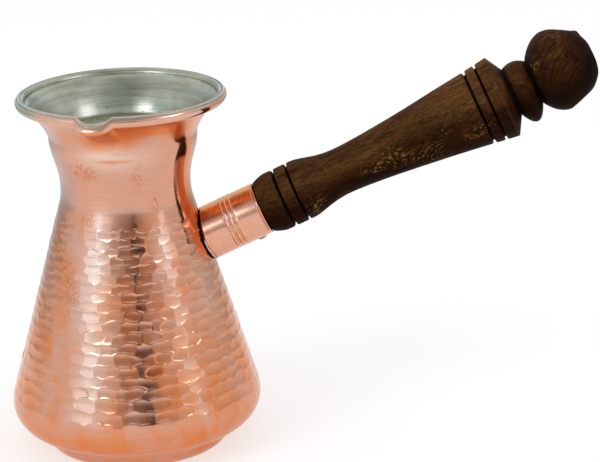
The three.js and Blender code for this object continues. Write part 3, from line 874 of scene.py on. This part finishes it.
def blend(factor, first, second, mode="MIX"):
    inputs = {0: factor, 6: first, 7: second}
    return added("ShaderNodeMix", inputs, data_type="RGBA", blend_type=mode).outputs[2]


def combine(operation, a, b=0):
    return added("ShaderNodeMath", {0: a, 1: b}, operation=operation).outputs[0]


def times(a, b):
    return combine("MULTIPLY", a, b)


def plus(a, b):
    return combine("ADD", a, b)


def bumped(height, distance, before=None, strength=1):
    """A bump from a height, on top of the bump before it."""
    inputs = {"Height": height, "Distance": distance, "Strength": strength}
    if before is not None:
        inputs["Normal"] = before
    return added("ShaderNodeBump", inputs).outputs["Normal"]


# Materials
class Shader:
    """A node material with one principled shader."""

    def __init__(self, name, inputs):
        self.material = bpy.data.materials.new(name)
        self.material.use_nodes = True
        self.tree = self.material.node_tree
        self.tree.nodes.clear()
        self.surface = added("ShaderNodeBsdfPrincipled", inputs, self.tree)
        added("ShaderNodeOutputMaterial", {"Surface": self.surface.outputs["BSDF"]})

    def place(self):
        return added("ShaderNodeTexCoord", {}, self.tree).outputs["Object"]

    def value(self, name, socket="Fac"):
        """One of the piece's own values at its points."""
        return added("ShaderNodeAttribute", {}, self.tree, attribute_name=name).outputs[socket]

    def finish(self, colour, roughness, normal):
        for key, value in (("Base Color", colour), ("Roughness", roughness), ("Normal", normal)):
            feed(self.surface.inputs[key], value)
        return self.material


STAIN = (0.55, 0.17, 0.05)
GREY_REFLECTION_COLOUR = (0.5, 0.305, 0.25)
PAINTED_HIGHLIGHT_COLOUR = (0.8, 0.56, 0.46)
BLOOM = (0.64, 0.36, 0.275)
TINNED_BEAD = (0.44, 0.41, 0.32)
BRUSHED_DULLNESS = 0.09
TIN_LOW = (0.29, 0.285, 0.212)
TIN_HIGH = (0.5, 0.485, 0.375)
TIN_PAINTED_LIGHT = (0.74, 0.74, 0.58)
TIN_WORN = (0.66, 0.42, 0.32)
TIN_PIT = (0.12, 0.125, 0.105)
SOLDER_LOW = (0.42, 0.39, 0.35)
SOLDER_HIGH = (0.66, 0.63, 0.59)
GAP_SHADE = (0.03, 0.016, 0.01)
WOOD_DARK = (0.017, 0.006, 0.0028)
WOOD_RED = (0.104, 0.034, 0.0105)
WOOD_OLIVE = (0.112, 0.044, 0.0125)
# Tints that follow the painted light and shade: redder where shaded, greener where lit
SHADED_SIDE_TINT = (1.0, 0.87, 0.8)
LIT_SIDE_TINT = (0.97, 1.12, 1.1)
FLECK = (0.3, 0.145, 0.04)
RUBBED_WOOD = (0.15, 0.065, 0.024)
PORE = (0.006, 0.003, 0.002)
BALL_RING = (0.010, 0.004, 0.003)
BALL_RING_CENTRE = (-0.1835, 0.0, 0.0045)
SCORE = (0.0035, 0.0022, 0.0018)
STEEL_BROWN = (0.28, 0.24, 0.2)
STEEL = (0.52, 0.51, 0.49)


def spun_metal(name, anisotropy):
    """Metal that shows the round marks of turning or wiping."""
    shader = Shader(name, {"Metallic": 1, "Anisotropic": anisotropy, "Anisotropic Rotation": 0.25})
    round_axis = added("ShaderNodeTangent", {}, shader.tree, direction_type="RADIAL", axis="Z")
    feed(shader.surface.inputs["Tangent"], round_axis.outputs["Tangent"])
    return shader


def copper_material(name, pale, deep, polish, brushing, anisotropy):
    """Copper with deeper orange patches, partly tarnished and partly painted reflection and shade, stains,
    turned lines, scratches, tin run over its bead, painted highlights and a painted grey reflection.
    """
    shader = spun_metal(name, anisotropy)
    place = shader.place()
    patches = noise(place, 52, 5, 0.6, distortion=0.7)
    runs = noise(place, 95, 4, 0.6, stretch=(1, 1, 0.3), distortion=0.3)
    lines = noise(shader.value("turning", "Vector"), 2.6, 5, 0.62)
    # Tarnished copper together with painted reflection, shade and highlight, from the piece's own values
    total = plus(plus(patches, runs), shader.value("tarnish_and_painted_light"))
    amount = spread(plus(total, lines), 1.3, 2.2)
    base = blend(amount, pale, deep)
    bloom = noise(place, 75, 5, 0.65, stretch=(1, 1, 0.5), distortion=0.5)
    base = blend(spread(bloom, 0.44, 0.64, 0, 0.5), base, BLOOM)
    # Painted reflection: greyer copper high on the left side and behind
    grey_reflection = times(shader.value("painted_grey_reflection"), bloom)
    base = blend(spread(grey_reflection, 0.1, 0.6, 0, 0.9), base, GREY_REFLECTION_COLOUR)
    # Painted highlights
    base = blend(shader.value("painted_highlight"), base, PAINTED_HIGHLIGHT_COLOUR)
    base = blend(1, base, spread(lines, 0.3, 0.7, 0.92, 1.05), "MULTIPLY")
    curls = noise(place, 230, 3, 0.6, distortion=1.6)
    outline = combine("ABSOLUTE", combine("SUBTRACT", curls, 0.5))
    outline = spread(outline, 0, 0.05, 1, 0.25)
    stain = times(shader.value("stained"), outline)
    base = blend(spread(stain, 0.1, 1, 0, 0.8), base, STAIN)
    base = blend(shader.value("tinned"), base, TINNED_BEAD)
    dull = spread(plus(total, curls), 1.1, 2.1, *polish)
    wiped = spread(shader.value("brushed"), 0, 1, 0, BRUSHED_DULLNESS)
    waves = noise(place, 210, 2, 0.5)
    scratches = noise(place, 700, 3, 0.6, stretch=(1, 1, 3), distortion=1)
    bump = bumped(lines, brushing)
    bump = bumped(waves, 0.00001, bump)
    bump = bumped(scratches, 0.000002, bump)
    dull = plus(dull, wiped)
    return shader.finish(base, dull, bump)


def tin_material(name):
    """Wiped tin, dull and slightly green-grey, with turned lines, brighter and darker rings, and a painted
    light deep in the pot.
    """
    shader = spun_metal(name, 0.3)
    place = shader.place()
    turned = shader.value("turning", "Vector")
    lines = noise(turned, 1.9, 6, 0.66)
    broad = noise(turned, 0.42, 3, 0.5)
    cloud = noise(place, 90, 4, 0.6, distortion=0.6)
    both = plus(lines, broad)
    tone = spread(plus(both, cloud), 1.1, 1.9)
    base = blend(tone, TIN_LOW, TIN_HIGH)
    # Painted light: the tin deep in the pot made much paler
    base = blend(shader.value("deep"), base, TIN_PAINTED_LIGHT)
    thin = spread(cloud, 0.3, 0.6, 0.15, 0.55)
    base = blend(times(shader.value("worn"), thin), base, TIN_WORN)
    pits = spread(noise(place, 900, 3, 0.6), 0.66, 0.72)
    base = blend(pits, base, TIN_PIT)
    dull = spread(both, 0.7, 1.35, 0.23, 0.34)
    bump = bumped(cloud, 0.00006, bumped(lines, 0.00003))
    return shader.finish(base, dull, bump)


def solder_material(name):
    """Dull solder, with painted shade of the gap where it meets the wall."""
    shader = Shader(name, {"Metallic": 1})
    lumps = noise(shader.place(), 700, 4, 0.6)
    base = blend(spread(lumps, 0.3, 0.7), SOLDER_LOW, SOLDER_HIGH)
    base = blend(shader.value("gap_shade"), base, GAP_SHADE)
    dull = spread(lumps, 0.3, 0.7, 0.28, 0.45)
    return shader.finish(base, dull, bumped(lumps, 0.0001))


def walnut_material(name):
    """Dark stained walnut: fibres, broad figure, golden flecks at the knots, pores, rings on the ball, and
    painted light and shade, lighter on top and darker underneath.
    """
    shader = Shader(name, {"Metallic": 0, "Specular IOR Level": 0.02})
    grain = shader.value("grain", "Vector")
    fibres = noise(grain, 1, 4, 0.62, stretch=(240, 2200, 2200), distortion=0.35)
    broad = noise(grain, 1, 4, 0.58, stretch=(32, 170, 170), distortion=0.9)
    olive = noise(grain, 1, 3, 0.5, stretch=(24, 90, 90), distortion=0.5)
    grains = noise(grain, 1, 2, 0.5, stretch=(620, 900, 900), distortion=1)
    wander = noise(grain, 1, 2, 0.5, stretch=(140, 260, 260))
    pores = noise(grain, 1, 2, 0.5, stretch=(420, 3600, 3600))

    light = blend(spread(olive, 0.4, 0.62), WOOD_RED, WOOD_OLIVE)
    tone = spread(plus(fibres, broad), 0.68, 1.3)
    base = blend(tone, WOOD_DARK, light)
    # Painted light and shade: lighter and greener on top, darker and redder underneath
    shade = shader.value("shade")
    tint = blend(spread(shade, 0.4, 1.4), SHADED_SIDE_TINT, LIT_SIDE_TINT)
    base = blend(1, base, tint, "MULTIPLY")
    base = blend(1, base, shade, "MULTIPLY")

    specks = times(spread(grains, 0.5, 0.64), shader.value("figure"))
    ripple = times(shader.value("knot"), 5)
    ripple = plus(ripple, times(wander, 9))
    ripple = spread(combine("SINE", ripple), 0.35, 1)
    arcs = times(ripple, shader.value("arched"))
    arcs = times(arcs, spread(grains, 0.36, 0.6, 0, 0.8))
    flecks = spread(combine("MAXIMUM", specks, arcs), 0.05, 0.9, 0, 0.75)
    base = blend(flecks, base, FLECK)

    wear = times(shader.value("rubbed"), fibres)
    base = blend(spread(wear, 0.2, 0.7, 0, 0.55), base, RUBBED_WOOD)
    pore = spread(pores, 0.6, 0.68, 0, 0.85)
    base = blend(pore, base, PORE)
    centred = added("ShaderNodeMapping", {"Vector": grain, "Location": BALL_RING_CENTRE})
    wave = {"Vector": centred.outputs["Vector"], "Scale": 165, "Distortion": 3.5}
    wave |= {"Detail": 2, "Detail Scale": 1.4}
    rings = added("ShaderNodeTexWave", wave, wave_type="RINGS", rings_direction="Y")
    ring = times(rings.outputs["Fac"], shader.value("ball"))
    base = blend(spread(ring, 0.2, 1, 0, 0.42), base, BALL_RING)
    base = blend(spread(shader.value("scored"), 0.1, 0.8, 0, 0.95), base, SCORE)

    sheen = spread(broad, 0.3, 0.7, 0.48, 0.66)
    bump = bumped(fibres, 0.00012)
    bump = bumped(pore, 0.00008, bump, -1)
    bump = bumped(flecks, 0.00012, bump, 0.5)
    return shader.finish(base, sheen, bump)


def steel_material(name):
    """Plain steel with fine scratches and a little brown in its low places."""
    shader = Shader(name, {"Metallic": 1})
    scratches = noise(shader.place(), 1800, 4, 0.6, stretch=(1, 4, 1))
    base = blend(spread(scratches, 0.35, 0.65), STEEL_BROWN, STEEL)
    dull = spread(scratches, 0.3, 0.7, 0.5, 0.3)
    return shader.finish(base, dull, bumped(scratches, 0.00003))


shell_colours = ((0.655, 0.335, 0.228), (0.74, 0.22, 0.06))
tube_colours = ((0.76, 0.385, 0.255), (0.92, 0.37, 0.1))
copper = copper_material("hammered_copper", *shell_colours, (0.08, 0.17), 0.000014, 0.7)
ferrule_copper = copper_material("ferrule_copper", *tube_colours, (0.12, 0.2), 0.00001, 0)
tin = tin_material("wiped_tin")
grey = solder_material("dull_solder")
walnut = walnut_material("dark_walnut")
steel = steel_material("plain_steel")

pieces = [
    (shell, "body", "copper", copper),
    (lining, "tin_lining", "tin", tin),
    (ferrule, "handle_ferrule", "ferrule_copper", ferrule_copper),
    (solder, "solder_seam", "solder", grey),
    (wood, "wood_handle", "wood", walnut),
    (brad, "handle_brad", "brad_steel", steel),
]
for piece, node, slot, material in pieces:
    piece.data.materials.append(material)
    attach(piece, "root")
    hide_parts(node)

# Floor. It glows for the camera and for what metal mirrors, where it fades and cools behind the pot.
WHITE = (1.0, 1.0, 1.0)
FLOOR_REACH = 6000
FLOOR_COLOUR = (0.6, 0.6, 0.6)
FLOOR_LIFT = 0.56
FAR_LIFT = 0.12
FAR_TINT = (0.5, 0.9, 1.1)
FADING = (0.1, 0.5)
floor_corners = [(x * FLOOR_REACH, y * FLOOR_REACH, 0) for x, y in ((-1, -1), (1, -1), (1, 1), (-1, 1))]
floor = mesh_object("floor", floor_corners, [(0, 1, 2, 3)])
paper = Shader("white_paper", {"Roughness": 0.9, "Base Color": FLOOR_COLOUR, "Specular IOR Level": 0})
floor_ray = added("ShaderNodeLightPath", {}, paper.tree).outputs
floor_back = added("ShaderNodeSeparateXYZ", {0: paper.place()}).outputs["Y"]
floor_fade = spread(floor_back, *FADING, FLOOR_LIFT, FAR_LIFT)
mirrored_lift = times(floor_ray["Is Glossy Ray"], floor_fade)
camera_lift = times(floor_ray["Is Camera Ray"], FLOOR_LIFT)
floor_far = times(spread(floor_back, *FADING), floor_ray["Is Glossy Ray"])
feed(paper.surface.inputs["Emission Color"], blend(floor_far, WHITE, FAR_TINT))
feed(paper.surface.inputs["Emission Strength"], plus(mirrored_lift, camera_lift))
floor.data.materials.append(paper.material)

# What metal shows of the studio, by degrees from straight ahead of the pot's front towards its handle: a dim
# warm room with a dark gap and two cooler screens in front, narrower ones behind, and paler walls above
AMBIENT = 0.64
GAP = (0.0, 0.0, 0.0)
SCREEN_LEFT = (1.35, 1.9, 2.35)
SCREEN_RIGHT = (1.2, 1.5, 1.72)
HIGH_LEFT = (6.4, 6.9, 8.2)
HIGH_RIGHT = (4.6, 5.0, 6.0)
SKIRTING = [
    (-180, 0.85, 0.95, 1.05), (-110, 0.9, 0.94, 0.96), (-60, 0.95, 1.12, 1.3), (-40, 1.08, 1.35, 1.6),
    (20, 1.08, 1.35, 1.6), (60, 0.92, 1.05, 1.15), (110, 0.8, 0.86, 0.88), (180, 0.85, 0.95, 1.05),
]
LOW_ROOM = [
    (-180, *GAP), (-179.4, 0.42, 0.34, 0.3), (-172, *SCREEN_RIGHT), (-165, 0.62, 0.66, 0.7),
    (-156, 0.6, 0.68, 0.76), (-120, 0.76, 0.8, 0.84), (-95, 0.86, 0.96, 1.08), (-74, 1.0, 1.1, 1.22),
    (-57, 1.16, 1.5, 1.76), (-53, *SCREEN_LEFT), (-44, *SCREEN_LEFT), (-39, 1.01, 1.28, 1.51),
    (-26, 0.81, 0.85, 0.87), (-8, 0.47, 0.36, 0.28), (4, 0.36, 0.26, 0.2), (9.8, 0.16, 0.1, 0.08),
    (10.3, *GAP), (14.9, *GAP), (15.4, 0.34, 0.22, 0.15), (30, 0.68, 0.58, 0.5),
    (54, 0.94, 0.89, 0.85), (57, *SCREEN_RIGHT), (63, *SCREEN_RIGHT), (67, 0.94, 0.83, 0.76),
    (90, 0.78, 0.74, 0.72), (120, 0.66, 0.7, 0.74), (156, 0.56, 0.64, 0.72), (163, 0.62, 0.66, 0.7),
    (168, *SCREEN_LEFT), (176.2, 0.42, 0.34, 0.3), (176.7, *GAP), (180, *GAP),
]
HIGH_ROOM = [
    (-180, 0.83, 0.95, 1.08), (-95, 0.92, 1.05, 1.2), (-52, 0.95, 1.15, 1.3), (-46, *HIGH_LEFT),
    (-29, *HIGH_LEFT), (-23, 1.0, 1.25, 1.45), (10, 0.95, 1.15, 1.35), (44, 0.95, 1.15, 1.3),
    (53, *HIGH_RIGHT), (69, *HIGH_RIGHT), (78, 0.92, 1.05, 1.2), (180, 0.83, 0.95, 1.08),
]
OVERHEAD = [
    (-180, *WHITE), (-100, 0.85, 0.92, 0.98), (-50, 0.72, 0.8, 0.86), (-30, 0.44, 0.5, 0.54),
    (25, 0.44, 0.5, 0.54), (60, 0.8, 0.88, 0.94), (100, 0.85, 0.92, 0.98), (180, *WHITE),
]

# Each layer with the heights between which it takes over from the one below
LAYERS = [(LOW_ROOM, 0.06, 0.13), (HIGH_ROOM, 0.36, 0.42), (OVERHEAD, 0.49, 0.6)]

world = bpy.data.worlds.new("studio")
bpy.context.scene.world = world
world.use_nodes = True
studio = world.node_tree
studio.nodes.clear()
ways = added("ShaderNodeTexCoord", {}, studio).outputs["Generated"]
room_axes = added("ShaderNodeSeparateXYZ", {0: ways}).outputs
heading = combine("ARCTAN2", room_axes["X"], times(room_axes["Y"], -1))
compass = spread(heading, -math.pi, math.pi, interpolation="LINEAR")


def horizon(stops):
    """Colours round the horizon. They are given once all stops are in place, as moving a stop sorts them."""
    node = added("ShaderNodeValToRGB", {0: compass})
    elements = node.color_ramp.elements
    while len(elements) < len(stops):
        elements.new(0.5)
    for element, stop in zip(elements, stops):
        element.position = stop[0] / 360 + 0.5
    for element, stop in zip(elements, stops):
        element.color = (*stop[1:], 1)
    return node.outputs[0]


def background(colour, strength=1):
    return added("ShaderNodeBackground", {0: colour, 1: strength}, studio).outputs[0]


room = horizon(SKIRTING)
for layer, layer_low, layer_high in LAYERS:
    layer_share = spread(room_axes["Z"], layer_low, layer_high, interpolation="LINEAR")
    room = blend(layer_share, room, horizon(layer))
room_ray = added("ShaderNodeLightPath", {}, studio).outputs
in_metal = combine("MAXIMUM", room_ray["Is Glossy Ray"], room_ray["Is Transmission Ray"])
lit = added("ShaderNodeMixShader", {0: in_metal, 1: background(WHITE, AMBIENT), 2: background(room)})
backdrop = {0: room_ray["Is Camera Ray"], 1: lit.outputs[0], 2: background(WHITE)}
shown = added("ShaderNodeMixShader", backdrop)
added("ShaderNodeOutputWorld", {0: shown.outputs[0]})

# Lamps
LAMP_AIM = Vector((0, 0, 0.07))


def softbox(name, azimuth, elevation, distance, size, level):
    """A soft lamp seen from the pot in one direction. Metal shows its screen in the room, not the lamp."""
    lamp = bpy.data.lights.new(name, "AREA")
    lamp.shape = "RECTANGLE"
    lamp.size, lamp.size_y = size
    lamp.energy = level * math.pi * size[0] * size[1]
    thing = bpy.data.objects.new(name, lamp)
    a, e = math.radians(azimuth), math.radians(elevation)
    direction = Vector((math.sin(a) * math.cos(e), -math.cos(a) * math.cos(e), math.sin(e)))
    aim = direction.to_track_quat("Z", "Y").to_matrix().to_4x4()
    thing.matrix_world = Matrix.Translation(LAMP_AIM + direction * distance) @ aim
    thing.visible_glossy = False
    bpy.context.scene.collection.objects.link(thing)


softbox("left_box", -50, 32, 1.6, (0.7, 1.1), 2.2)
softbox("right_box", 59, 32, 1.6, (0.6, 1.1), 1.6)

# Camera
CAMERA_PLACE = Vector((31.73, -926.89, 375.31)) * MM
PITCH = math.radians(17.743)
ROLL = math.radians(-2.02)
HEADING = math.radians(-2)
camera_data = bpy.data.cameras.new("camera")
camera_data.sensor_width = 36
camera_data.lens = 156
camera_data.clip_end = 50
camera = bpy.data.objects.new("camera", camera_data)
bpy.context.scene.collection.objects.link(camera)
facing = Matrix.Rotation(HEADING, 4, "Z") @ Matrix.Rotation(math.pi / 2 - PITCH, 4, "X")
facing = facing @ Matrix.Rotation(ROLL, 4, "Z")
camera.matrix_world = Matrix.Translation(CAMERA_PLACE) @ facing
bpy.context.scene.camera = camera
bpy.context.scene.view_settings.view_transform = "Standard"

bpy.context.view_layer.update()
